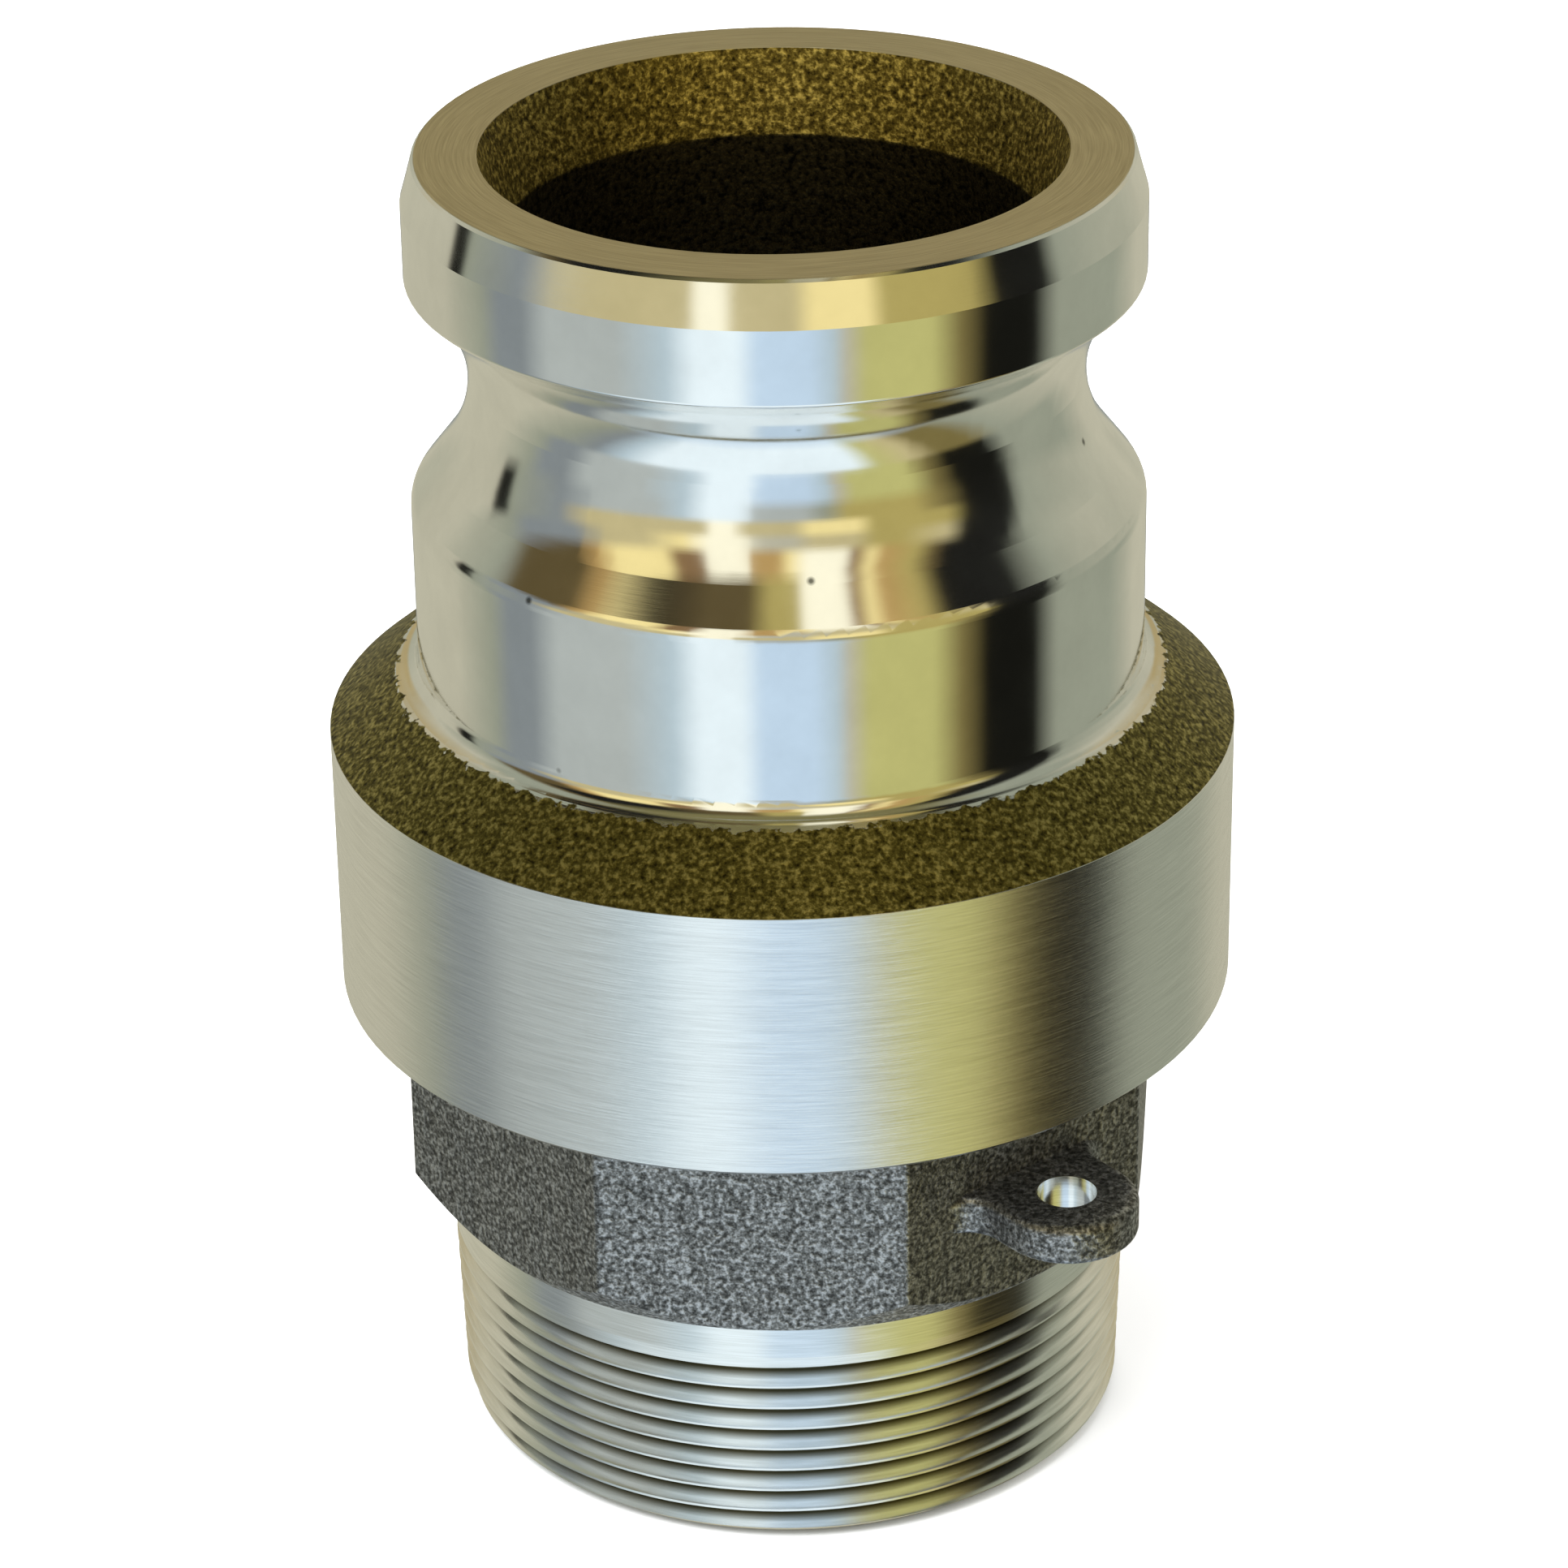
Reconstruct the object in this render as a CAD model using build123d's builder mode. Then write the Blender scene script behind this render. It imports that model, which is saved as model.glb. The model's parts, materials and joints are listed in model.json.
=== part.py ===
from build123d import *
import math
import os

# Swivel cam-and-groove male adapter with a male pipe thread, 3 inch size, in millimetres.
# The threaded body stands at the bottom with its thread's end at Z = 0. The adapter, which
# is one casting of cam head and collar, turns on it over two rows of balls. Everything
# round is about the Z axis. The front is -Y, and the loading ports are at the back, +Y.

os.makedirs("parts", exist_ok=True)

# Cam head and the turned body below it
head_top_z = 173.7
head_r = 45.7
nose_r = 44.2                   # the head narrows to this radius at its face
nose_bottom_z = 168.0
nose_edge = 0.4
head_land_bottom_z = 158.8
land_edge_round = 0.7
neck_r = 38.3
groove_r = 18.0                 # the hollow that takes the cam arms' noses
flank_top_z = 139.1             # the sloping flank, from the neck's corner to the body's
flank_bottom_z = 129.2
body_r = 46.0
shoulder_r = 3.0                # rounds the flank over into the body
fillet_r = 2.4
fillet_shelf_z = 105.4          # the fillet at the body's foot ends just above the cone
mouth_r = 36.1
throat_r = 33.3
throat_top_z = 163.0
throat_bottom_z = 137.0
waterway_r = 38.0
waterway_top_z = 125.0

# Collar
collar_r = 57.6
collar_top_z = 97.8
collar_bottom_z = 62.5
collar_cone_r = 48.9
collar_cone_z = 105.2
edge_break = 0.5

# Swivel: two rows of balls between pressed-in races
ball_r = 3.175
ball_count = 46
ball_gap = 0.1
ball_pitch_r = 48.7
race_height = 9.5
race_bottom_z = 68.0
race_top_z = race_bottom_z + 2 * race_height
inner_race_r = 43.8
inner_race_outer_r = 47.9
outer_race_inner_r = 49.5
outer_race_r = 53.6
row_z = {
    "lower": race_bottom_z + race_height / 2,
    "upper": race_bottom_z + race_height * 3 / 2,
}

# Retaining rings, seals and the shank that they sit on
clip_thickness = 1.2
clip_play = 0.05                # room for a ring in its groove, on each face
clip_depth = 1.6
shank_r = 43.75
shank_shoulder_r = 45.0
shank_top_z = 101.0
shank_chamfer = 0.7
seal_bore_r = 43.82
seal_bore_bottom_z = 89.9
seal_bore_lead_in = 1.0
chamber_top_z = 101.6
grease_groove_z = (90.3, 92.7)
grease_groove_r = 41.9
main_groove_z = (94.2, 99.4)
main_groove_r = 40.7
seal_running_gap = 0.02
backup_height = 1.4

# Threaded body: octagon, chain lug and pipe thread
bore_r = 36.5
octagon_top_z = 61.7
octagon_bottom_z = 33.5
octagon_apothem = 46.95
octagon_turn = -5.8             # the front flat faces this many degrees towards -X
octagon_edge_round = 1.0
corner_trim_r = (46.55, 51.8)   # a cone between these radii trims the octagon's lower corners
corner_trim_rise = 6.0
band_r = 44.6
thread_top_z = 28.2
thread_pitch = 25.4 / 8
thread_end_r = 43.7
thread_taper = 1 / 32           # growth of the radius along the axis
thread_depth = 2.3
thread_root_flat = 0.25
thread_flank_slope = math.tan(math.radians(30))
thread_entry_rise = 1.84
lug_angle = octagon_turn + 45.0
lug_hole_centre_r = 54.8
lug_hole_r = 3.75
lug_nose_r = 9.0
lug_bottom_z = 45.2
lug_thickness = 5.5
lug_flare = 4.0
lug_edge_round = 1.2

# Ports at the back of the collar
plug_r = 3.4
plug_seat_r = 54.9
screw_r = 4.5
screw_face_r = 57.1
screw_socket = 4.0
screw_socket_depth = 1.4
plug_angle = {"lower": 118.0, "upper": 62.0}
grease_angle = 90.0
fitting_z = race_bottom_z + race_height
fitting_thread_r = 3.0
fitting_inner_end = 54.0
fitting_hex = 8.0
fitting_hex_top = 60.6
fitting_tip = 65.4
fitting_bore_r = 1.0
fitting_neck_r = 2.35
fitting_head_r = 3.2
fitting_tip_r = 1.7
check_ball_r = 1.3
check_bore_r = 1.55
check_seat_y = 63.6
check_mouth_r = 0.8
spring_wire_r = 0.2
spring_r = 1.0
spring_turns = 6
grease_hole_r = 1.2


def radial_plane(angle, height, distance):
    """Plane square to the radius at an angle, facing outwards, at a distance from the axis."""
    turn = math.radians(angle)
    outward = Vector(math.cos(turn), math.sin(turn), 0)
    return Plane(origin=outward * distance + Vector(0, 0, height), x_dir=(0, 0, 1), z_dir=outward)


# ---------------------------------------------------------------- male adapter
# One casting: cam head, groove, turned body and collar, bored from below for the races.
with BuildPart() as male_adapter:
    with BuildSketch(Plane.XZ) as adapter_half_section:
        with BuildLine():
            Polyline(
                (mouth_r, head_top_z),
                (nose_r - nose_edge, head_top_z),
                (nose_r, head_top_z - nose_edge),
                (head_r, nose_bottom_z),
                (head_r, head_land_bottom_z),
            )
            land_round = TangentArc(
                (head_r, head_land_bottom_z),
                (head_r - land_edge_round, head_land_bottom_z - land_edge_round),
                tangent=(0, -1),
            )
            flank_turn = math.atan2(body_r - neck_r, flank_top_z - flank_bottom_z)
            hollow_reach = groove_r * math.tan(flank_turn / 2)
            shoulder_reach = shoulder_r * math.tan(flank_turn / 2)
            neck = (neck_r, flank_top_z + hollow_reach)
            body_edge = (body_r, flank_bottom_z - shoulder_reach)
            flank_start = (
                neck_r + hollow_reach * math.sin(flank_turn),
                flank_top_z - hollow_reach * math.cos(flank_turn),
            )
            flank_end = (
                body_r - shoulder_reach * math.sin(flank_turn),
                flank_bottom_z + shoulder_reach * math.cos(flank_turn),
            )
            TangentArc(neck, land_round @ 1, tangent=(0, 1))
            TangentArc(neck, flank_start, tangent=(0, -1))
            flank = Line(flank_start, flank_end)
            TangentArc(flank_end, body_edge, tangent=flank % 1)
            Line(body_edge, (body_r, fillet_shelf_z + fillet_r))
            foot = TangentArc(
                (body_r, fillet_shelf_z + fillet_r), (body_r + fillet_r, fillet_shelf_z), tangent=(0, -1)
            )
            Polyline(
                foot @ 1,
                (collar_cone_r, collar_cone_z),
                (collar_r, collar_top_z),
                (collar_r, collar_bottom_z + edge_break),
                (collar_r - edge_break, collar_bottom_z),
                (outer_race_r, collar_bottom_z),
                (outer_race_r, race_bottom_z - clip_thickness),
                (outer_race_r + clip_depth, race_bottom_z - clip_thickness),
                (outer_race_r + clip_depth, race_bottom_z + clip_play),
                (outer_race_r, race_bottom_z + clip_play),
                (outer_race_r, race_top_z),
                (outer_race_inner_r + seal_bore_lead_in, race_top_z),
                (outer_race_inner_r + seal_bore_lead_in, seal_bore_bottom_z - seal_bore_lead_in),
                (seal_bore_r + seal_bore_lead_in, seal_bore_bottom_z - seal_bore_lead_in),
                (seal_bore_r, seal_bore_bottom_z),
                (seal_bore_r, chamber_top_z),
                (waterway_r, chamber_top_z),
                (waterway_r, waterway_top_z),
                (throat_r, throat_bottom_z),
                (throat_r, throat_top_z),
                (mouth_r, head_top_z),
            )
        make_face()
    revolve(axis=Axis.Z)
    for row in row_z:
        with BuildSketch(radial_plane(plug_angle[row], row_z[row], outer_race_inner_r)):
            Circle(plug_r)
        extrude(amount=plug_seat_r - outer_race_inner_r, mode=Mode.SUBTRACT)
        with BuildSketch(radial_plane(plug_angle[row], row_z[row], plug_seat_r)):
            Circle(screw_r)
        extrude(amount=collar_r - plug_seat_r + 1, mode=Mode.SUBTRACT)
    with BuildSketch(radial_plane(grease_angle, fitting_z, outer_race_inner_r)):
        Circle(fitting_thread_r)
    extrude(amount=collar_r - outer_race_inner_r + 1, mode=Mode.SUBTRACT)
male_adapter.part.label = "male_adapter"
export_step(male_adapter.part, "parts/male_adapter.step")

# ---------------------------------------------------------------- threaded body
# The chain lug is a flat cast ear with a rounded nose that flares into the octagon's face.
lug_turn = math.radians(lug_angle - 90)
lug_plane = Plane(
    origin=(0, 0, lug_bottom_z), x_dir=(math.cos(lug_turn), math.sin(lug_turn), 0), z_dir=(0, 0, 1)
)
lug_root = octagon_apothem - 4
lug_foot = lug_nose_r + lug_flare
with BuildPart() as chain_lug:
    with BuildSketch(lug_plane):
        with BuildLine():
            Polyline((lug_root, lug_foot), (lug_root, -lug_foot), (octagon_apothem, -lug_foot))
            TangentArc(
                (octagon_apothem, -lug_foot), (octagon_apothem + lug_flare, -lug_nose_r), tangent=(0, 1)
            )
            Line((octagon_apothem + lug_flare, -lug_nose_r), (lug_hole_centre_r, -lug_nose_r))
            TangentArc((lug_hole_centre_r, -lug_nose_r), (lug_hole_centre_r, lug_nose_r), tangent=(1, 0))
            Line((lug_hole_centre_r, lug_nose_r), (octagon_apothem + lug_flare, lug_nose_r))
            TangentArc(
                (octagon_apothem + lug_flare, lug_nose_r), (octagon_apothem, lug_foot), tangent=(-1, 0)
            )
            Line((octagon_apothem, lug_foot), (lug_root, lug_foot))
        make_face()
    extrude(amount=lug_thickness)
    lug_rims = chain_lug.edges().group_by(Axis.Z)
    fillet(lug_rims[0] + lug_rims[-1], radius=lug_edge_round)

# The tapered thread is one helical groove, cut from below the nipple's end to the band
groove_start_z = -0.8 * thread_pitch
groove_start_r = thread_end_r + groove_start_z * thread_taper
groove_half_width = thread_depth * thread_flank_slope + thread_root_flat / 2
cutter_rise = 0.6               # the cutter stands this far out of the thread's crests
with BuildPart() as thread_cutter:
    with BuildLine() as thread_path:
        Helix(
            pitch=thread_pitch,
            height=thread_top_z - groove_start_z - thread_pitch / 2,
            radius=groove_start_r,
            center=(0, 0, groove_start_z),
            cone_angle=math.degrees(math.atan(thread_taper)),
        )
    tooth_plane = Plane(origin=(groove_start_r, 0, groove_start_z), x_dir=(1, 0, 0), z_dir=(0, -1, 0))
    with BuildSketch(tooth_plane):
        with BuildLine():
            Polyline(
                (-thread_depth, -thread_root_flat / 2),
                (cutter_rise, -groove_half_width - cutter_rise * thread_flank_slope),
                (cutter_rise, groove_half_width + cutter_rise * thread_flank_slope),
                (-thread_depth, thread_root_flat / 2),
                close=True,
            )
        make_face()
    sweep(path=thread_path.line, is_frenet=True)

# Octagon, its lug, the tapered thread below it, and the shank that carries the inner races
# and the seals up inside the collar.
with BuildPart() as threaded_body:
    with BuildSketch(Plane.XY.offset(octagon_bottom_z)):
        RegularPolygon(
            octagon_apothem, side_count=8, major_radius=False, rotation=octagon_turn + 22.5
        )
    extrude(amount=octagon_top_z - octagon_bottom_z)
    fillet(threaded_body.edges().filter_by(Axis.Z), radius=octagon_edge_round)
    # A cone trims the corners, so that the octagon's lower edge is round
    with BuildSketch(Plane.XZ):
        with BuildLine():
            Polyline(
                (corner_trim_r[0], octagon_bottom_z),
                (corner_trim_r[1], octagon_bottom_z + corner_trim_rise),
                (corner_trim_r[1], octagon_bottom_z),
                close=True,
            )
        make_face()
    revolve(axis=Axis.Z, mode=Mode.SUBTRACT)
    add(chain_lug.part)
    with BuildSketch(Plane.XZ):
        with BuildLine():
            Polyline(
                (0, 0),
                (thread_end_r - thread_depth, 0),
                (thread_end_r, thread_entry_rise),
                (thread_end_r + thread_top_z * thread_taper, thread_top_z),
                (band_r, thread_top_z),
                (band_r, octagon_bottom_z),
                (0, octagon_bottom_z),
                close=True,
            )
        make_face()
    revolve(axis=Axis.Z)
    # Shank: shoulder, race seat, retaining-ring groove and two seal grooves
    with BuildSketch(Plane.XZ):
        with BuildLine():
            Polyline(
                (0, octagon_top_z),
                (shank_shoulder_r, octagon_top_z),
                (shank_shoulder_r, race_bottom_z),
                (inner_race_r, race_bottom_z),
                (inner_race_r, race_top_z),
                (inner_race_r - clip_thickness, race_top_z),
                (inner_race_r - clip_thickness, race_top_z + clip_thickness + clip_play),
                (shank_r, race_top_z + clip_thickness + clip_play),
                (shank_r, grease_groove_z[0]),
                (grease_groove_r, grease_groove_z[0]),
                (grease_groove_r, grease_groove_z[1]),
                (shank_r, grease_groove_z[1]),
                (shank_r, main_groove_z[0]),
                (main_groove_r, main_groove_z[0]),
                (main_groove_r, main_groove_z[1]),
                (shank_r, main_groove_z[1]),
                (shank_r, shank_top_z - shank_chamfer),
                (shank_r - shank_chamfer, shank_top_z),
                (0, shank_top_z),
                close=True,
            )
        make_face()
    revolve(axis=Axis.Z)
    with BuildSketch(Plane.XY):
        Circle(bore_r)
    extrude(amount=shank_top_z, mode=Mode.SUBTRACT)
    with BuildSketch(lug_plane.offset(-1)):
        with Locations((lug_hole_centre_r, 0)):
            Circle(lug_hole_r)
    extrude(amount=lug_thickness + 2, mode=Mode.SUBTRACT)
    add(thread_cutter.part, mode=Mode.SUBTRACT)

threaded_body.part.label = "threaded_body"
export_step(threaded_body.part, "parts/threaded_body.step")

# ---------------------------------------------------------------- races and balls
# Each row has an outer race in the collar, an inner race on the shank and balls between
# them. The outer race has a loading hole, and both outer races share the grease hole.
for row, centre_z in row_z.items():
    race_floor = centre_z - race_height / 2
    with BuildPart() as outer_race:
        with BuildSketch(Plane.XZ):
            with Locations(((outer_race_inner_r + outer_race_r) / 2, centre_z)):
                Rectangle(outer_race_r - outer_race_inner_r, race_height)
            with Locations((ball_pitch_r, centre_z)):
                Circle(ball_r + ball_gap, mode=Mode.SUBTRACT)
        revolve(axis=Axis.Z)
        with BuildSketch(radial_plane(plug_angle[row], centre_z, ball_pitch_r)):
            Circle(plug_r)
        extrude(amount=outer_race_r - ball_pitch_r + 1, mode=Mode.SUBTRACT)
        with BuildSketch(radial_plane(grease_angle, fitting_z, ball_pitch_r)):
            Circle(grease_hole_r)
        extrude(amount=outer_race_r - ball_pitch_r + 1, mode=Mode.SUBTRACT)
    outer_race.part.label = f"{row}_outer_race"
    export_step(outer_race.part, f"parts/{row}_outer_race.step")

    with BuildPart() as inner_race:
        with BuildSketch(Plane.XZ):
            with Locations(((inner_race_r + inner_race_outer_r) / 2, centre_z)):
                Rectangle(inner_race_outer_r - inner_race_r, race_height)
            with Locations((ball_pitch_r, centre_z)):
                Circle(ball_r + ball_gap, mode=Mode.SUBTRACT)
        revolve(axis=Axis.Z)
    inner_race.part.label = f"{row}_inner_race"
    export_step(inner_race.part, f"parts/{row}_inner_race.step")

    with BuildPart(Plane.XY.offset(centre_z)) as balls:
        with PolarLocations(ball_pitch_r, ball_count):
            Sphere(ball_r)
    balls.part.label = f"{row}_balls"
    export_step(balls.part, f"parts/{row}_balls.step")

    # The plug fills the loading hole, and its inner end carries the groove on
    with BuildPart() as loading_plug:
        with BuildSketch(radial_plane(plug_angle[row], centre_z, outer_race_inner_r)):
            Circle(plug_r)
        extrude(amount=plug_seat_r - outer_race_inner_r)
        with BuildSketch(Plane.XZ):
            with Locations((ball_pitch_r, centre_z)):
                Circle(ball_r + ball_gap)
        revolve(axis=Axis.Z, mode=Mode.SUBTRACT)
    loading_plug.part.label = f"{row}_loading_plug"
    export_step(loading_plug.part, f"parts/{row}_loading_plug.step")

    with BuildPart() as plug_screw:
        with BuildSketch(radial_plane(plug_angle[row], centre_z, plug_seat_r)):
            Circle(screw_r)
        extrude(amount=screw_face_r - plug_seat_r)
        chamfer(plug_screw.edges().sort_by(Axis.Y)[-1], length=edge_break)
        with BuildSketch(radial_plane(plug_angle[row], centre_z, screw_face_r)):
            RegularPolygon(screw_socket / 2, side_count=6, major_radius=False)
        extrude(amount=-screw_socket_depth, mode=Mode.SUBTRACT)
    plug_screw.part.label = f"{row}_plug_screw"
    export_step(plug_screw.part, f"parts/{row}_plug_screw.step")

# ---------------------------------------------------------------- retaining rings
# Open spring rings with an eye at each end, one on the shank and one in the collar's bore
clip_opening = 24.0             # degrees
clip_reach = 80.0
clip_eye_r = 1.9
clip_eye_hole_r = 0.8
shank_clip_r = (inner_race_r - clip_thickness + clip_play, 46.4)
collar_clip_r = (50.8, outer_race_r + clip_depth - clip_play)
clips = {
    "inner_race_clip": (*shank_clip_r, race_top_z, shank_clip_r[1] - 1),
    "outer_race_clip": (*collar_clip_r, race_bottom_z - clip_thickness, collar_clip_r[0] + 0.8),
}
for name, (inner_radius, outer_radius, floor_z, eye_circle_r) in clips.items():
    with BuildPart(Plane.XY.offset(floor_z)) as clip:
        with BuildSketch(Plane.XY.offset(floor_z)):
            Circle(outer_radius)
            Circle(inner_radius, mode=Mode.SUBTRACT)
            with BuildLine(mode=Mode.PRIVATE) as opening:
                Polyline(
                    (0, 0),
                    (clip_reach, clip_reach * math.tan(math.radians(clip_opening / 2))),
                    (clip_reach, -clip_reach * math.tan(math.radians(clip_opening / 2))),
                    close=True,
                )
            make_face(opening.edges(), mode=Mode.SUBTRACT)
            with PolarLocations(eye_circle_r, 2, -clip_opening / 2, clip_opening, endpoint=True):
                Circle(clip_eye_r)
                Circle(clip_eye_hole_r, mode=Mode.SUBTRACT)
        extrude(amount=clip_thickness)
    clip.part.label = name
    export_step(clip.part, f"parts/{name}.step")

# ---------------------------------------------------------------- seals
# Dust seal: pressed into the collar below its retaining ring, with a lip to the shank
dust_seal_bottom_z = collar_bottom_z + 0.4
dust_seal_top_z = race_bottom_z - clip_thickness - 0.1
dust_lip_z = (dust_seal_bottom_z + dust_seal_top_z) / 2
dust_lip_r = shank_shoulder_r + seal_running_gap * 2
with BuildPart() as dust_seal:
    with BuildSketch(Plane.XZ):
        with BuildLine():
            Polyline(
                (outer_race_r, dust_seal_bottom_z),
                (outer_race_r, dust_seal_top_z),
                (dust_lip_r + 3, dust_seal_top_z),
                (dust_lip_r, dust_lip_z + 0.3),
                (dust_lip_r, dust_lip_z - 0.3),
                (dust_lip_r + 3, dust_seal_bottom_z),
                close=True,
            )
        make_face()
    revolve(axis=Axis.Z)
dust_seal.part.label = "dust_seal"
export_step(dust_seal.part, "parts/dust_seal.step")

# O-rings lie squeezed in the shank's grooves against the collar's seal bore
backup_floor_z = main_groove_z[0] + 0.05
main_ring_floor_z = backup_floor_z + backup_height
rings = {
    "main_o_ring": (main_groove_r, main_ring_floor_z, main_groove_z[1]),
    "grease_o_ring": (grease_groove_r, *grease_groove_z),
}
for name, (groove_floor_r, low_z, high_z) in rings.items():
    ring_outer_r = seal_bore_r - seal_running_gap
    with BuildPart() as o_ring:
        with BuildSketch(Plane.XZ):
            with Locations(((groove_floor_r + ring_outer_r) / 2, (low_z + high_z) / 2)):
                Ellipse((ring_outer_r - groove_floor_r) / 2, (high_z - low_z) / 2 - 0.05)
        revolve(axis=Axis.Z)
    o_ring.part.label = name
    export_step(o_ring.part, f"parts/{name}.step")

with BuildPart() as backup_ring:
    with BuildSketch(Plane.XZ):
        with Locations(((main_groove_r + shank_r) / 2, backup_floor_z + backup_height / 2)):
            RectangleRounded(shank_r - main_groove_r, backup_height - 0.1, 0.2)
    revolve(axis=Axis.Z)
backup_ring.part.label = "backup_ring"
export_step(backup_ring.part, "parts/backup_ring.step")

# ---------------------------------------------------------------- grease fitting
# A greasing nipple, screwed into the collar from the back. Its axis runs along +Y.
fitting_plane = Plane(origin=(0, 0, fitting_z), x_dir=(0, 1, 0), z_dir=(1, 0, 0))
fitting_axis = Axis((0, 0, fitting_z), (0, 1, 0))
spring_floor_y = fitting_inner_end + 2
check_ball_y = check_seat_y + check_bore_r - (check_ball_r + 0.02) * math.sqrt(2)
with BuildPart() as grease_fitting_body:
    with BuildSketch(fitting_plane):
        with BuildLine():
            Polyline(
                (fitting_inner_end, fitting_bore_r),
                (fitting_inner_end, fitting_thread_r - 0.3),
                (fitting_inner_end + 0.3, fitting_thread_r),
                (collar_r + 0.05, fitting_thread_r),
                (fitting_hex_top, fitting_thread_r),
                (fitting_hex_top + 0.6, fitting_neck_r),
                (fitting_hex_top + 1.8, fitting_neck_r),
                (fitting_hex_top + 2.7, fitting_head_r),
                (fitting_hex_top + 3.4, fitting_head_r),
                (fitting_tip, fitting_tip_r),
                (fitting_tip, check_mouth_r),
                (check_seat_y + check_bore_r - check_mouth_r, check_mouth_r),
                (check_seat_y, check_bore_r),
                (spring_floor_y, check_bore_r),
                (spring_floor_y, fitting_bore_r),
                close=True,
            )
        make_face()
    revolve(axis=fitting_axis)
    with BuildSketch(radial_plane(grease_angle, fitting_z, collar_r + 0.05)):
        RegularPolygon(fitting_hex / 2, side_count=6, major_radius=False)
        Circle(check_bore_r, mode=Mode.SUBTRACT)
    extrude(amount=fitting_hex_top - collar_r - 0.05)
grease_fitting_body.part.label = "grease_fitting_body"
export_step(grease_fitting_body.part, "parts/grease_fitting_body.step")

with BuildPart(Plane(origin=(0, check_ball_y, fitting_z))) as grease_fitting_ball:
    Sphere(check_ball_r)
grease_fitting_ball.part.label = "grease_fitting_ball"
export_step(grease_fitting_ball.part, "parts/grease_fitting_ball.step")

spring_low_y = spring_floor_y + spring_wire_r + 0.05
spring_high_y = check_ball_y - math.sqrt((check_ball_r + spring_wire_r + 0.03) ** 2 - spring_r**2)
spring_length = spring_high_y - spring_low_y
with BuildPart() as grease_fitting_spring:
    with BuildLine() as spring_path:
        Helix(
            pitch=spring_length / spring_turns,
            height=spring_length,
            radius=spring_r,
            center=(0, spring_low_y, fitting_z),
            direction=(0, 1, 0),
        )
    with BuildSketch(Plane(origin=spring_path.line @ 0, z_dir=spring_path.line % 0)):
        Circle(spring_wire_r)
    sweep(path=spring_path.line, is_frenet=True)
grease_fitting_spring.part.label = "grease_fitting_spring"
export_step(grease_fitting_spring.part, "parts/grease_fitting_spring.step")
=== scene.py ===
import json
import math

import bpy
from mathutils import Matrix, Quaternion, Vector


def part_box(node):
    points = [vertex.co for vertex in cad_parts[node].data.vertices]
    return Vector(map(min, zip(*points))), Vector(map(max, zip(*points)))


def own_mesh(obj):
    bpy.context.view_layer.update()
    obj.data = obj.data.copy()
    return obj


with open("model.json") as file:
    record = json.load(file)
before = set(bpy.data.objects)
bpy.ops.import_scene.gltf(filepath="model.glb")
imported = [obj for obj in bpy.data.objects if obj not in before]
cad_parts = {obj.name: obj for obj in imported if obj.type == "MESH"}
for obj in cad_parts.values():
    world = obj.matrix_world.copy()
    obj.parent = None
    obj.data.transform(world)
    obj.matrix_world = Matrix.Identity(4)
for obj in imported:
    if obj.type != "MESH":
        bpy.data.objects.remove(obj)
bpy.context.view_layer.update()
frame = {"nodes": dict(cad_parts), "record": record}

# %% [markdown]
# # A swivel cam-and-groove adapter
# The coupling is two aluminium castings that turn on each other over rows of balls. The
# frame that was just loaded holds every part of it, in place and at its real size. What is
# left to make here is how it looks: which skin was turned on a lathe, which is still as
# the sand mould left it, and the light of a studio that shows the difference.

MM = 0.001
nodes = frame["nodes"]
adapter_low, adapter_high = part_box("male_adapter")
head_top = adapter_high.z
collar_bottom = adapter_low.z
collar_radius = adapter_high.x
print("collar from", round(collar_bottom / MM, 1), "mm, head to", round(head_top / MM, 1), "mm")

# %% [markdown]
# ## The camera
# A small object looks right through a long lens from under a metre away: its circles stay
# round and its upright sides stay nearly upright. The camera stands in front, on the -Y
# side, and looks down into the open mouth. A hand-levelled tripod is seldom quite true, so
# the camera is rolled by just under one degree.

# %% Camera
LENS = 127.96
DISTANCE = 0.7165
ELEVATION = math.radians(26.78)
ROLL = math.radians(0.86)
AIM = Vector((0.0001, 0.0, 0.0868))
back = Vector((0.0, -math.cos(ELEVATION), math.sin(ELEVATION)))
bpy.ops.object.camera_add(location=AIM + back * DISTANCE)
camera = bpy.context.object
camera.rotation_mode = "QUATERNION"
camera.rotation_quaternion = Quaternion(back, -ROLL) @ (-back).to_track_quat("-Z", "Y")
camera.data.lens = LENS
camera.data.sensor_width = 36.0
camera.data.clip_start = 0.05
bpy.context.scene.camera = camera
print("camera", round((camera.location - AIM).length, 3), "m from what it looks at")

# %% [markdown]
# ## The floor
# The floor is plain and pale. Turned metal is a mirror, and the upright sides of this one
# would show nothing but floor, so the floor is kept out of glossy rays: the metal then
# shows the studio that is painted into the world, below the horizon as well as above it.

# %% Floor
bpy.ops.mesh.primitive_plane_add(size=12.0, location=(0.0, 0.0, 0.0))
floor = bpy.context.object
floor.name = "studio_floor"
floor.visible_glossy = False
print(floor.name, round(floor.dimensions.x, 1), "m across")

# %% [markdown]
# ## Building materials from nodes
# Every finish below is a node tree. A few short functions keep the trees readable: `add`
# makes a node and plugs its inputs in, and the others name the steps that come back often.
# Patterns read Object coordinates. A CAD node's object sits at the origin, so they are
# simply metres in the coupling's own frame, and a height or a radius on the real part is
# the same number in the pattern.

# %% Node helpers
def new_material(name, colour=(0.8, 0.8, 0.8, 1.0), metallic=1.0):
    """A new material with a Principled shader: (material, tree, shader)."""
    material = bpy.data.materials.new(name)
    material.use_nodes = True
    shader = material.node_tree.nodes["Principled BSDF"]
    shader.inputs["Base Color"].default_value = colour
    shader.inputs["Metallic"].default_value = metallic
    return material, material.node_tree, shader


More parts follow.
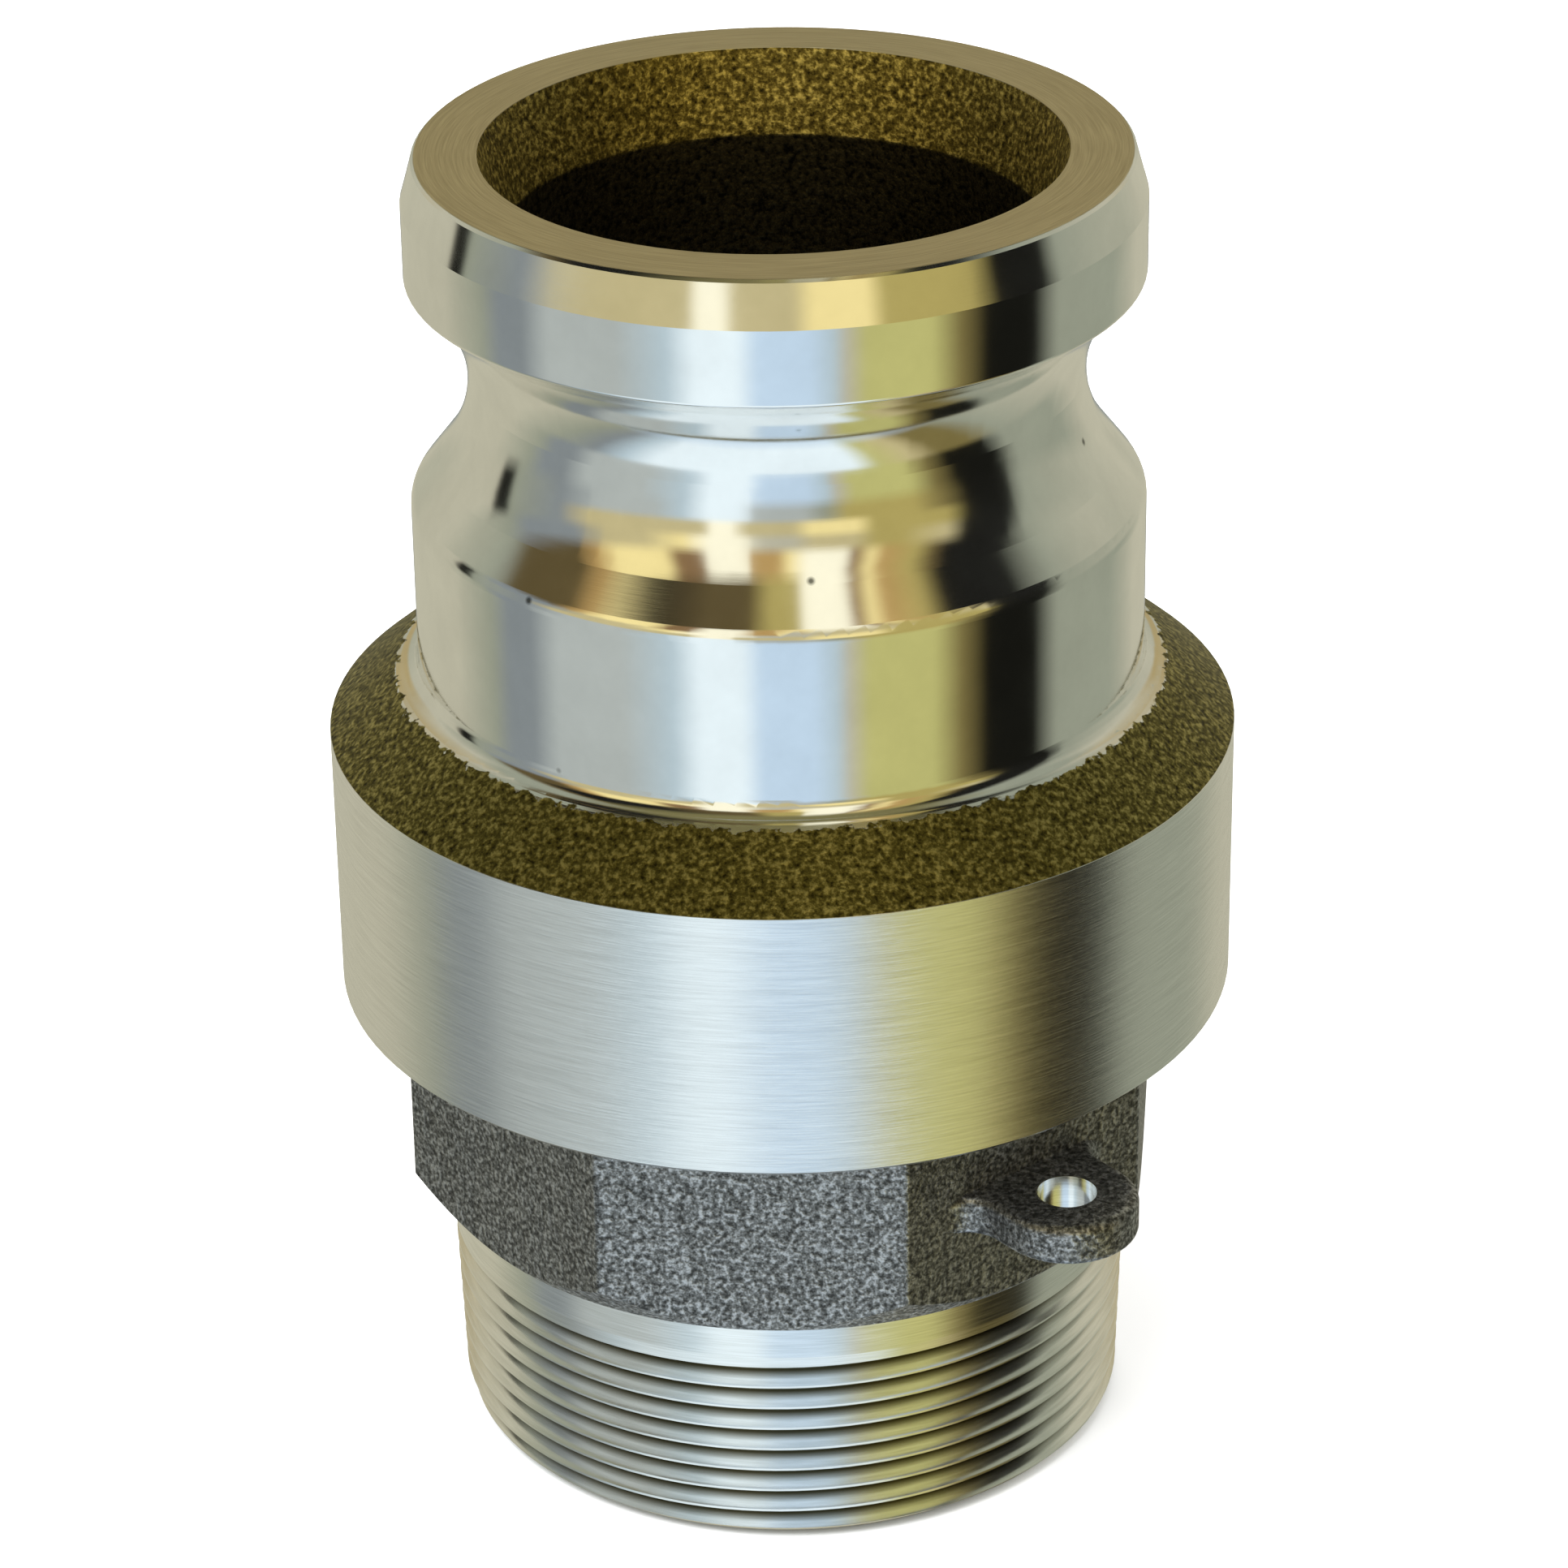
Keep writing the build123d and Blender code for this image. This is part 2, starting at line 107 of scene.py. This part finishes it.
def add(tree, kind, inputs, output=0, **settings):
    """Adds a node, sets or links its inputs by name or index, and returns one output."""
    node = tree.nodes.new(kind)
    for key, value in settings.items():
        setattr(node, key, value)
    for key, value in inputs.items():
        if isinstance(value, bpy.types.NodeSocket):
            tree.links.new(value, node.inputs[key])
        else:
            node.inputs[key].default_value = value
    return node.outputs[output]


def maths(tree, operation, a, b=0.0, clamp=False):
    return add(tree, "ShaderNodeMath", {0: a, 1: b}, operation=operation, use_clamp=clamp)


def blend_colours(tree, factor, a, b, kind="MIX"):
    """Factor 0 gives colour a and factor 1 gives colour b."""
    inputs = {"Factor": factor, 6: a, 7: b}
    return add(tree, "ShaderNodeMix", inputs, output=2, data_type="RGBA", blend_type=kind)


def blend_values(tree, factor, a, b):
    return add(tree, "ShaderNodeMix", {"Factor": factor, "A": a, "B": b})


def ramp(tree, factor, stops, interpolation="LINEAR"):
    """Colours along a factor: stops is a list of (place, colour)."""
    out = add(tree, "ShaderNodeValToRGB", {"Fac": factor})
    scale = out.node.color_ramp
    scale.interpolation = interpolation
    while len(scale.elements) < len(stops):
        scale.elements.new(0.5)
    for element, (place, colour) in zip(scale.elements, stops):
        element.position = place
        element.color = (*colour, 1.0)
    return out


def rises(tree, value, edge, soft):
    """0 below the edge and 1 above it, over a soft step."""
    inputs = {"Value": value, "From Min": edge - soft, "From Max": edge + soft}
    return add(tree, "ShaderNodeMapRange", inputs)


def noise(tree, vector, size, detail=2.0, roughness=0.5):
    """Noise from 0 to 1 whose lumps are about as wide as size, in metres."""
    inputs = {"Vector": vector, "Scale": 1.0 / size, "Detail": detail, "Roughness": roughness}
    return add(tree, "ShaderNodeTexNoise", inputs)


def part_place(tree):
    """Where a point is on the part: (point, height, radius, angle about the axis)."""
    point = add(tree, "ShaderNodeTexCoord", {}, output=3)
    x = add(tree, "ShaderNodeSeparateXYZ", {"Vector": point})
    y, height = x.node.outputs["Y"], x.node.outputs["Z"]
    flat = add(tree, "ShaderNodeCombineXYZ", {"X": x, "Y": y})
    radius = add(tree, "ShaderNodeVectorMath", {0: flat}, output=1, operation="LENGTH")
    return point, height, radius, maths(tree, "ARCTAN2", y, x)


def round_the_axis(tree, angle, across, squeeze):
    """Coordinates for marks that run round the axis: long one way, and fine across it."""
    east = maths(tree, "MULTIPLY", maths(tree, "COSINE", angle), collar_radius)
    north = maths(tree, "MULTIPLY", maths(tree, "SINE", angle), collar_radius)
    inputs = {"X": east, "Y": north, "Z": maths(tree, "MULTIPLY", across, squeeze)}
    return add(tree, "ShaderNodeCombineXYZ", inputs)


def bump(tree, height, depth, normal=None):
    """A bump as deep as depth, in metres, where height goes from 0 to 1."""
    inputs = {"Strength": 1.0, "Distance": depth, "Height": height}
    if normal is not None:
        inputs["Normal"] = normal
    return add(tree, "ShaderNodeBump", inputs)


def plug_in(tree, shader, **sockets):
    for name, value in sockets.items():
        tree.links.new(value, shader.inputs[name.replace("_", " ")])


# %% [markdown]
# ## Floor finish
# The floor is matt paint: a very faint unevenness keeps it from looking like paper cut-out.

# %% Floor finish
floor_paint, tree, shader = new_material("floor_paint", (0.9, 0.9, 0.9, 1.0), metallic=0.0)
shader.inputs["Roughness"].default_value = 0.9
shader.inputs["Specular IOR Level"].default_value = 0.1
point = add(tree, "ShaderNodeTexCoord", {}, output=3)
mottle = noise(tree, point, 0.08)
paint = ramp(tree, mottle, [(0.0, (0.90, 0.90, 0.90)), (1.0, (0.94, 0.94, 0.94))])
plug_in(tree, shader, Base_Color=paint)
floor.data.materials.append(floor_paint)
print(floor_paint.name, "is on", floor.name)

# %% [markdown]
# ## The studio in the metal
# A polished cylinder shows the room as upright stripes, one for each panel that stands
# round it. The world is a small studio of such panels, in tiers from the floor to the
# ceiling, and each tier is a strip of colours round the compass. `compass` gives the
# direction round the axis from 0 to 1, with the front, -Y, at one half, and `panels` turns
# a list of (degrees, colour) into a strip.

# %% Studio directions
world = bpy.data.worlds.new("studio")
bpy.context.scene.world = world
world.use_nodes = True
tree = world.node_tree
direction = add(tree, "ShaderNodeTexCoord", {}, output=0)
world_x = add(tree, "ShaderNodeSeparateXYZ", {"Vector": direction})
toward_front = maths(tree, "MULTIPLY", world_x.node.outputs["Y"], -1.0)
rise = world_x.node.outputs["Z"]
turn = maths(tree, "DIVIDE", maths(tree, "ARCTAN2", world_x, toward_front), 2.0 * math.pi)
compass = maths(tree, "ADD", turn, 0.5)


def panels(strip):
    """A strip of the studio: each (degrees from the front, colour) is a stop."""
    return ramp(tree, compass, [((degrees + 180.0) / 360.0, colour) for degrees, colour in strip])


print("the studio has", len(tree.nodes), "nodes that find a direction")

# %% [markdown]
# ## The panels
# The colours have names, from the glare of the window to the black of an open door, so that
# a strip reads as a walk round the room from the back, by the left, the front and the right.
# Bright panels have hard edges where they stand for lamps and windows, and soft ones where
# they stand for walls.

# %% Panel colours
GLARE = (0.88, 1.0, 1.05)
ICE = (0.58, 0.74, 0.90)
SKY = (0.50, 0.62, 0.68)
MIST = (0.46, 0.50, 0.48)
SLATE = (0.24, 0.27, 0.28)
SAGE = (0.32, 0.34, 0.26)
BEIGE = (0.52, 0.50, 0.38)
KHAKI = (0.54, 0.52, 0.19)
BRONZE = (0.20, 0.16, 0.055)
UMBER = (0.11, 0.08, 0.03)
BLACK = (0.008, 0.008, 0.006)
CREAM = (1.1, 1.05, 0.80)
GOLD = (0.98, 0.82, 0.36)
STRAW = (0.58, 0.50, 0.26)
AMBER = (0.50, 0.32, 0.11)
OCHRE = (0.46, 0.38, 0.12)
TAN = (0.44, 0.35, 0.17)
OLIVE = (0.20, 0.18, 0.075)
RUST = (0.24, 0.14, 0.06)

# %% Panels
floor_tier = panels([
    (-180, BEIGE), (-125, BEIGE), (-95, SAGE), (-78, SLATE), (-64, SKY), (-50, GLARE), (30, GLARE), (40, KHAKI),
    (54, STRAW), (66, BRONZE), (82, BRONZE), (98, SAGE), (150, BEIGE), (180, BEIGE),
])
lower_tier = panels([
    (-180, BLACK), (-174, SLATE), (-167, BEIGE), (-122, BEIGE), (-102, SAGE), (-94, SLATE), (-84, SLATE),
    (-74, MIST), (-50, MIST), (-34, SKY), (-25, GLARE), (-12, GLARE), (-6, ICE), (10, ICE), (17, SKY),
    (21, BEIGE), (27, KHAKI), (48, KHAKI), (58, BRONZE), (67, BLACK), (86, BLACK), (96, SAGE), (126, SAGE),
    (146, BEIGE), (167, BEIGE), (174, SLATE), (180, BLACK),
])
wall_tier = panels([
    (-180, SAGE), (-138, BEIGE), (-114, BEIGE), (-112, BLACK), (-107, BLACK), (-104, SAGE), (-82, SLATE),
    (-66, MIST), (-44, MIST), (-34, SKY), (-25, GLARE), (-14, GLARE), (-7, MIST), (8, MIST), (16, SAGE),
    (24, OCHRE), (48, OCHRE), (60, BRONZE), (69, BLACK), (86, BLACK), (93, SAGE), (150, BEIGE), (180, SAGE),
])
room_tier = panels([
    (-180, SAGE), (-138, BEIGE), (-114, BEIGE), (-112, BLACK), (-107, BLACK), (-104, SAGE), (-82, SLATE),
    (-70, STRAW), (-27, STRAW), (-23, CREAM), (-16, CREAM), (-12, STRAW), (5, STRAW), (11, GOLD), (27, GOLD),
    (33, OCHRE), (60, OCHRE), (69, BLACK), (86, BLACK), (93, SAGE), (150, BEIGE), (180, SAGE),
])
window_tier = panels([
    (-180, TAN), (-155, TAN), (-130, BEIGE), (-104, SAGE), (-96, SLATE), (-76, SLATE), (-62, STRAW),
    (-48, STRAW), (-34, GOLD), (-25, CREAM), (-14, CREAM), (-6, BEIGE), (5, BEIGE), (12, STRAW), (26, STRAW),
    (34, OCHRE), (44, OCHRE), (60, STRAW), (68, BLACK), (86, BLACK), (93, SAGE), (130, BEIGE), (155, TAN),
    (180, TAN),
])
high_tier = panels([
    (-180, TAN), (-130, BEIGE), (-104, SAGE), (-96, UMBER), (-76, UMBER), (-68, AMBER), (-60, GOLD),
    (-42, GOLD), (-37, RUST), (-29, RUST), (-25, CREAM), (-13, CREAM), (-9, AMBER), (0, AMBER), (4, GOLD),
    (10, CREAM), (23, CREAM), (27, RUST), (33, GOLD), (38, AMBER), (49, OCHRE), (57, UMBER), (62, BLACK),
    (84, BLACK), (98, SAGE), (130, BEIGE), (180, TAN),
])
top_tier = panels([
    (-180, SAGE), (-110, SAGE), (-96, UMBER), (-88, BLACK), (-50, BLACK), (-28, UMBER), (-12, UMBER),
    (-4, OCHRE), (6, OCHRE), (10, CREAM), (25, CREAM), (29, RUST), (35, GOLD), (41, AMBER), (54, OCHRE),
    (62, BLACK), (80, BLACK), (98, SAGE), (180, SAGE),
])

# %% [markdown]
# ## Stacking the tiers
# `rise` is the height of a direction, from -1 straight down to 1 straight up. Starting with
# what lies underfoot, each tier covers all that is above its lower edge, with a soft joint.
# Only glossy rays see the panels. All others see plain white, so the floor isn't tinted.

# %% Studio
tiers = (*ICE, 1.0)
for edge, soft, tier in (
    (-0.92, 0.05, floor_tier),
    (-0.58, 0.03, lower_tier),
    (-0.17, 0.08, wall_tier),
    (0.06, 0.04, room_tier),
    (0.24, 0.05, window_tier),
    (0.42, 0.06, high_tier),
    (0.68, 0.04, top_tier),
    (0.90, 0.05, (*OLIVE, 1.0)),
):
    tiers = blend_colours(tree, rises(tree, rise, edge, soft), tiers, tier)
studio_light = add(tree, "ShaderNodeBackground", {"Color": tiers, "Strength": 1.0})
backdrop = add(tree, "ShaderNodeBackground", {"Color": (1.0, 1.0, 1.0, 1.0), "Strength": 1.0})
rays = add(tree, "ShaderNodeLightPath", {})
in_mirror = rays.node.outputs["Is Glossy Ray"]
shown = add(tree, "ShaderNodeMixShader", {0: in_mirror, 1: backdrop, 2: studio_light})
tree.links.new(shown, tree.nodes["World Output"].inputs["Surface"])
bpy.context.scene.view_settings.view_transform = "Standard"
print("the studio has", len(tree.nodes), "nodes in all")

# %% [markdown]
# ## Lights
# Soft boxes light what isn't metal: the floor, the seals and the plastic ring. A large one
# hangs above and a little in front, and a weaker one stands on each side. In the metal they
# would be white discs, so glossy rays don't see them.

# %% Lights
def soft_box(name, place, size, power, colour=(1.0, 1.0, 1.0)):
    """An area light at a place, turned towards the middle of the coupling."""
    bpy.ops.object.light_add(type="AREA", location=place)
    lamp = bpy.context.object
    lamp.name = name
    lamp.rotation_mode = "QUATERNION"
    lamp.rotation_quaternion = (AIM - Vector(place)).to_track_quat("-Z", "Y")
    lamp.data.shape = "DISK"
    lamp.data.size = size
    lamp.data.energy = power
    lamp.data.color = colour
    lamp.visible_camera = False
    lamp.visible_glossy = False
    print(name, round((Vector(place) - AIM).length, 2), "m away")


soft_box("key_box", (-0.35, -0.65, 1.15), 0.7, 14.0)
soft_box("side_box_left", (-1.1, -0.1, 0.5), 0.8, 7.0, (0.95, 0.98, 1.0))
soft_box("side_box_right", (1.1, 0.2, 0.5), 0.8, 6.0, (1.0, 0.96, 0.88))
soft_box("back_box", (0.2, 1.0, 0.9), 0.8, 8.0)

# %% [markdown]
# ## The adapter's finish
# The foundry leaves the whole casting rough. A lathe then cleans the head, the groove, the
# body and the collar's side, and only the cone on top of the collar and the bore stay as
# cast. So this one material has zones, and each is told from the others by height and
# radius: each zone is a mask of 0 and 1.

# %% Adapter zones
CONE_TOP = 105.2 * MM
CONE_FOOT = 97.85 * MM
CAST_RADIUS = 48.75 * MM
BORE_RADIUS = 36.3 * MM
THROAT_TOP = 163.0 * MM
WATERWAY_RADIUS = 38.15 * MM
WATERWAY_TOP = 141.0 * MM

adapter_skin, tree, shader = new_material("adapter_skin")
point, height, radius, angle = part_place(tree)


def below(value, edge, soft):
    return maths(tree, "SUBTRACT", 1.0, rises(tree, value, edge, soft))


def both(a, b):
    return maths(tree, "MULTIPLY", a, b)


ragged = noise(tree, point, 1.6 * MM, detail=3.0)
ragged_radius = maths(tree, "ADD", radius, both(maths(tree, "SUBTRACT", ragged, 0.5), 3.0 * MM))
above_collar = rises(tree, height, CONE_FOOT, 0.02 * MM)
below_cone_top = below(height, CONE_TOP + 1.2 * MM, 0.2 * MM)
on_cone = both(both(above_collar, below_cone_top), rises(tree, ragged_radius, CAST_RADIUS, 0.1 * MM))
below_face = below(height, head_top - 0.06 * MM, 0.02 * MM)
in_bore = both(below(radius, BORE_RADIUS, 0.1 * MM), below_face)
in_waterway = both(below(radius, WATERWAY_RADIUS, 0.05 * MM), below(height, WATERWAY_TOP, 0.5 * MM))
in_throat = maths(tree, "MAXIMUM", both(in_bore, below(height, THROAT_TOP, 0.3 * MM)), in_waterway)
on_face = maths(tree, "SUBTRACT", 1.0, below_face)
on_collar = maths(tree, "SUBTRACT", 1.0, above_collar)
cast = maths(tree, "MAXIMUM", on_cone, maths(tree, "MAXIMUM", in_bore, in_throat))

print(adapter_skin.name, "has", len(tree.nodes), "nodes for its zones")

# %% [markdown]
# ## The adapter's grain
# The turned zones differ: the head was polished, and the collar still shows the fine
# streaks of the tool, which run round the axis. The cast zones are grit, and the polished
# ones have a few pinholes where gas was caught in the metal.

# %% Adapter grain
GRIT = 0.75 * MM
streaks = noise(tree, round_the_axis(tree, angle, height, 40.0), 9.0 * MM, detail=4.0, roughness=0.7)
face_rings = noise(tree, round_the_axis(tree, angle, radius, 60.0), 12.0 * MM, detail=3.0, roughness=0.6)
smudges = noise(tree, point, 9.0 * MM, detail=4.0, roughness=0.6)
grit = noise(tree, point, GRIT, detail=3.0, roughness=0.6)
from_pinhole = add(tree, "ShaderNodeTexVoronoi", {"Vector": point, "Scale": 1.0 / (14.0 * MM)})
pinholes = below(from_pinhole, 0.03, 0.015)
print("the grit is", round(GRIT / MM, 2), "mm wide")

# %% [markdown]
# ## The adapter's colour, gloss and relief
# Each zone has a ramp of its own, from its dark marks to its light ones, and the masks lay
# one zone over another. The throat deep in the bore gets a near-black ramp, which is painted
# shade. Gloss and relief follow the same grain, so a dark streak is also a rougher and a
# deeper one.

# %% Adapter finish
polished = ramp(tree, smudges, [(0.3, (0.86, 0.86, 0.85)), (0.7, (0.95, 0.95, 0.94))])
polished = blend_colours(tree, pinholes, polished, (0.16, 0.16, 0.15, 1.0))
brushed = ramp(tree, streaks, [(0.3, (0.76, 0.76, 0.75)), (0.7, (0.98, 0.98, 0.97))])
faced = ramp(tree, face_rings, [(0.3, (0.46, 0.42, 0.31)), (0.7, (0.66, 0.62, 0.48))])
cone_skin = ramp(tree, grit, [
    (0.3, (0.03, 0.024, 0.006)), (0.5, (0.17, 0.145, 0.036)), (0.68, (0.50, 0.43, 0.16)),
])
bore_skin = ramp(tree, grit, [
    (0.3, (0.04, 0.03, 0.01)), (0.5, (0.25, 0.19, 0.045)), (0.68, (0.85, 0.68, 0.21)),
])
# Painted shade: the throat deep in the bore gets a near-black colour for the shade there.
throat_painted_shade = ramp(tree, grit, [(0.35, (0.01, 0.009, 0.006)), (0.7, (0.14, 0.11, 0.05))])
colour = blend_colours(tree, on_collar, polished, brushed)
colour = blend_colours(tree, on_face, colour, faced)
colour = blend_colours(tree, on_cone, colour, cone_skin)
colour = blend_colours(tree, in_bore, colour, bore_skin)
# Painted shade laid over the throat and the waterway.
colour = blend_colours(tree, in_throat, colour, throat_painted_shade)
gloss = blend_values(tree, smudges, 0.06, 0.13)
gloss = blend_values(tree, on_collar, gloss, blend_values(tree, streaks, 0.14, 0.28))
gloss = blend_values(tree, on_face, gloss, 0.3)
gloss = blend_values(tree, cast, gloss, blend_values(tree, grit, 0.62, 0.38))
tool_marks = bump(tree, streaks, blend_values(tree, on_collar, 0.002 * MM, 0.02 * MM))
face_marks = bump(tree, face_rings, both(on_face, 0.02 * MM), tool_marks)
sand_marks = bump(tree, grit, both(cast, 0.2 * MM), face_marks)
plug_in(tree, shader, Base_Color=colour, Roughness=gloss, Normal=sand_marks)
print(adapter_skin.name, "has", len(tree.nodes), "nodes in all")

# %% [markdown]
# ## The threaded body's finish
# The octagon and its lug stay as the mould left them, with the coarse speckle of sand.
# Below them the lathe cut the band and the thread, bright again, and a drill cut the lug's
# hole. The thread is tapered, so how deep a point lies in it is told from a cone.

# %% Threaded body zones
OCTAGON_FOOT = 33.5 * MM
THREAD_TOP = 28.2 * MM
THREAD_END_RADIUS = 43.7 * MM
THREAD_DEPTH = 2.3 * MM
TAPER = 1 / 32
NIPPLE_BORE_RADIUS = 37.5 * MM
LUG_HOLE_RADIUS = 3.9 * MM
LUG_DISTANCE = 54.8 * MM
LUG_ANGLE = math.radians(-50.8)
LUG_HOLE = (LUG_DISTANCE * math.cos(LUG_ANGLE), LUG_DISTANCE * math.sin(LUG_ANGLE), 0.0)

base_skin, tree, shader = new_material("base_skin")
point, height, radius, angle = part_place(tree)
in_nipple_bore = below(radius, NIPPLE_BORE_RADIUS, 0.2 * MM)
above_band = rises(tree, height, OCTAGON_FOOT + 0.02 * MM, 0.02 * MM)
flat_point = add(tree, "ShaderNodeVectorMath", {0: point, 1: (1.0, 1.0, 0.0)}, operation="MULTIPLY")
from_hole = add(tree, "ShaderNodeVectorMath", {0: flat_point, 1: LUG_HOLE}, output=1, operation="DISTANCE")
in_hole = below(from_hole, LUG_HOLE_RADIUS, 0.05 * MM)
cast = both(maths(tree, "MAXIMUM", above_band, in_nipple_bore), maths(tree, "SUBTRACT", 1.0, in_hole))

crest = maths(tree, "ADD", both(height, TAPER), THREAD_END_RADIUS)
sunk = maths(tree, "DIVIDE", maths(tree, "SUBTRACT", crest, radius), THREAD_DEPTH)
in_thread = both(below(height, THREAD_TOP, 0.1 * MM), maths(tree, "SUBTRACT", 1.0, in_nipple_bore))
# Painted shade: the deeper part of each thread groove, which is coloured dark.
painted_root_shade = both(rises(tree, sunk, 0.65, 0.25), in_thread)

print(base_skin.name, "has", len(tree.nodes), "nodes for its zones")

# %% [markdown]
# ## The threaded body's grain and colour
# Moulding sand leaves a speckle a little finer than a millimetre, over a casting that is
# itself uneven. The turned metal is bright, apart from the roots of the thread, which are
# painted dark: painted shade in the grooves.

# %% Threaded body finish
SPECKLE = 0.6 * MM
speckle = noise(tree, point, SPECKLE, detail=2.0, roughness=0.6)
broad = noise(tree, point, 6.0 * MM, detail=2.0)
turned_lines = noise(tree, round_the_axis(tree, angle, height, 40.0), 9.0 * MM, detail=3.0)
sand_grey = ramp(tree, speckle, [
    (0.34, (0.07, 0.07, 0.07)), (0.5, (0.22, 0.22, 0.22)), (0.68, (0.60, 0.60, 0.62)),
])
turned = ramp(tree, turned_lines, [(0.3, (0.82, 0.82, 0.80)), (0.7, (0.98, 0.98, 0.97))])
# Painted shade: the thread roots are darkened.
turned = blend_colours(tree, painted_root_shade, turned, (0.22, 0.20, 0.14, 1.0))
colour = blend_colours(tree, cast, turned, sand_grey)
turned_gloss = blend_values(tree, turned_lines, 0.12, 0.22)
gloss = blend_values(tree, cast, turned_gloss, blend_values(tree, speckle, 0.6, 0.4))
fine = bump(tree, turned_lines, 0.004 * MM)
rough = bump(tree, speckle, both(cast, 0.16 * MM), fine)
uneven = bump(tree, broad, both(cast, 0.4 * MM), rough)
plug_in(tree, shader, Base_Color=colour, Roughness=gloss, Normal=uneven)
print(base_skin.name, "has", len(tree.nodes), "nodes in all")

# %% [markdown]
# ## Steel, rubber and plastic
# The small parts inside are steel, rubber and one white plastic ring. They hardly show, but
# a part on the bench is seen from all sides, so each gets its own finish.

# %% Small part finishes
def steel(name, dark, light, smooth, rough):
    """Ground or turned steel: fine marks round the axis in colour, gloss and bump."""
    material, tree, shader = new_material(name)
    point, height, radius, angle = part_place(tree)
    marks = noise(tree, round_the_axis(tree, angle, height, 30.0), 6.0 * MM, detail=3.0)
    plug_in(
        tree, shader,
        Base_Color=ramp(tree, marks, [(0.3, dark), (0.7, light)]),
        Roughness=blend_values(tree, marks, smooth, rough),
        Normal=bump(tree, marks, 0.004 * MM),
    )
    return material


def rubber():
    """Nitrile rubber: nearly black, with a dusty bloom."""
    material, tree, shader = new_material("nitrile_rubber", metallic=0.0)
    point = part_place(tree)[0]
    bloom = noise(tree, point, 3.0 * MM, detail=4.0)
    plug_in(
        tree, shader,
        Base_Color=ramp(tree, bloom, [(0.3, (0.012, 0.012, 0.013)), (0.8, (0.045, 0.045, 0.046))]),
        Roughness=blend_values(tree, bloom, 0.5, 0.8),
        Normal=bump(tree, noise(tree, point, 0.3 * MM), 0.01 * MM),
    )
    return material


def white_plastic():
    """PTFE: white, waxy, with faint turning marks."""
    material, tree, shader = new_material("white_plastic", metallic=0.0)
    point, height, radius, angle = part_place(tree)
    marks = noise(tree, round_the_axis(tree, angle, height, 30.0), 6.0 * MM)
    plug_in(
        tree, shader,
        Base_Color=ramp(tree, marks, [(0.3, (0.80, 0.79, 0.75)), (0.7, (0.90, 0.89, 0.86))]),
        Roughness=blend_values(tree, marks, 0.35, 0.5),
        Normal=bump(tree, marks, 0.003 * MM),
    )
    return material


race_steel = steel("race_steel", (0.55, 0.55, 0.56), (0.72, 0.72, 0.73), 0.15, 0.25)
ball_steel = steel("ball_steel", (0.74, 0.74, 0.76), (0.80, 0.80, 0.82), 0.04, 0.08)
plug_steel = steel("plug_steel", (0.45, 0.45, 0.46), (0.62, 0.62, 0.63), 0.22, 0.38)
clip_steel = steel("clip_steel", (0.10, 0.095, 0.09), (0.20, 0.19, 0.18), 0.3, 0.5)
fitting_zinc = steel("fitting_zinc", (0.60, 0.56, 0.42), (0.74, 0.71, 0.60), 0.2, 0.34)

# %% [markdown]
# ## Putting the finishes on
# Each CAD part names the material it is made of, and every part of one material gets the
# same finish.

# %% Putting the finishes on
finishes = {
    "adapter_aluminium": adapter_skin,
    "body_aluminium": base_skin,
    "race_steel": race_steel,
    "ball_steel": ball_steel,
    "plug_steel": plug_steel,
    "clip_steel": clip_steel,
    "seal_rubber": rubber(),
    "backup_plastic": white_plastic(),
    "fitting_steel": fitting_zinc,
}
for subpart in frame["record"]["subparts"]:
    node = nodes[subpart["node"]]
    node.data.materials.clear()
    node.data.materials.append(finishes[subpart["material_slot"]])
print(len(nodes), "nodes have a finish")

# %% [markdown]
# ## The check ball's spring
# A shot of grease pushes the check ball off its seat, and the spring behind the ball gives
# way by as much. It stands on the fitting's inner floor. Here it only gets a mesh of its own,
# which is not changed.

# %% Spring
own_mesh(nodes["grease_fitting_spring"])
